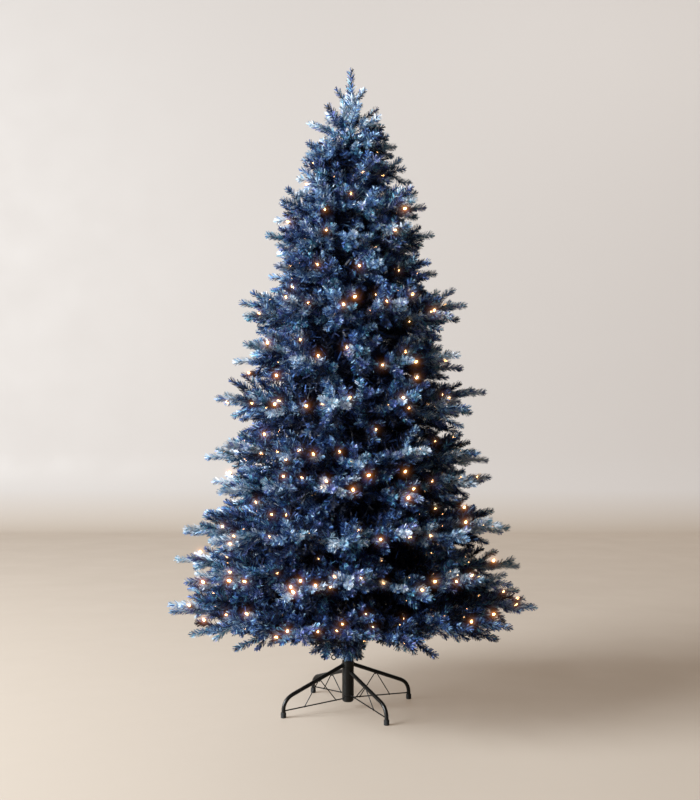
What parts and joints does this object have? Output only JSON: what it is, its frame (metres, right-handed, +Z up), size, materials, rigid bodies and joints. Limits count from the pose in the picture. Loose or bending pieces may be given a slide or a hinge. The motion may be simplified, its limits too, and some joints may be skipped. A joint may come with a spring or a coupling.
{
  "type": "artificial fir tree on a stand",
  "caption": "Artificial blue fir with tiers of level boughs and warm lights, on a folding metal stand with four legs.",
  "frame": {"origin": "on the floor, under the axis of the pole, which is the middle of the four feet", "axes": "+Z up along the pole, +X to the viewer's right, +Y away from the viewer"},
  "size_m": [1.2142, 1.2171, 2.13],
  "materials": {
    "needles": "matte plastic film needles, steel blue to navy",
    "bough_wrap": "steel wire wrapped in dark blue film",
    "pole": "satin black paint on steel tube",
    "stand_metal": "satin black powder coat on steel",
    "foot_rubber": "matte black rubber",
    "lamp_lens": "small clear lens that glows warm white",
    "lamp_socket": "dark blue moulded plastic"
  },
  "bodies": {
    "root": {"trunk_pole": "pole", "stand_sleeve": "stand_metal", "stand_frame_upper": "stand_metal", "stand_frame_lower": "stand_metal", "foot_cap_right": "foot_rubber", "foot_cap_back": "foot_rubber", "foot_cap_left": "foot_rubber", "foot_cap_front": "foot_rubber", "clamp_screw": "stand_metal", "bough_lowest_1": "bough_wrap", "bough_lowest_2": "bough_wrap", "bough_lowest_3": "bough_wrap", "bough_lowest_4": "bough_wrap", "bough_lowest_5": "bough_wrap", "foliage_tier_01_1": "needles", "foliage_tier_01_2": "needles", "foliage_tier_01_3": "needles", "foliage_tier_01_4": "needles", "foliage_tier_01_5": "needles", "foliage_tier_02_1": "needles", "foliage_tier_02_2": "needles", "foliage_tier_02_3": "needles", "foliage_tier_02_4": "needles", "foliage_tier_03_1": "needles", "foliage_tier_03_2": "needles", "foliage_tier_03_3": "needles", "foliage_tier_03_4": "needles", "foliage_tier_04_1": "needles", "foliage_tier_04_2": "needles", "foliage_tier_04_3": "needles", "foliage_tier_04_4": "needles", "foliage_tier_05_1": "needles", "foliage_tier_05_2": "needles", "foliage_tier_05_3": "needles", "foliage_tier_05_4": "needles", "foliage_tier_06_1": "needles", "foliage_tier_06_2": "needles", "foliage_tier_06_3": "needles", "foliage_tier_06_4": "needles", "foliage_tier_07_1": "needles", "foliage_tier_07_2": "needles", "foliage_tier_07_3": "needles", "foliage_tier_08_1": "needles", "foliage_tier_08_2": "needles", "foliage_tier_08_3": "needles", "foliage_tier_09_1": "needles", "foliage_tier_09_2": "needles", "foliage_tier_09_3": "needles", "foliage_tier_10_1": "needles", "foliage_tier_10_2": "needles", "foliage_tier_10_3": "needles", "foliage_tier_11_1": "needles", "foliage_tier_11_2": "needles", "foliage_tier_11_3": "needles", "foliage_tier_12_1": "needles", "foliage_tier_12_2": "needles", "foliage_tier_13_1": "needles", "foliage_tier_13_2": "needles", "foliage_leader": "needles", "foliage_foot": "needles"}
  },
  "joints": []
}
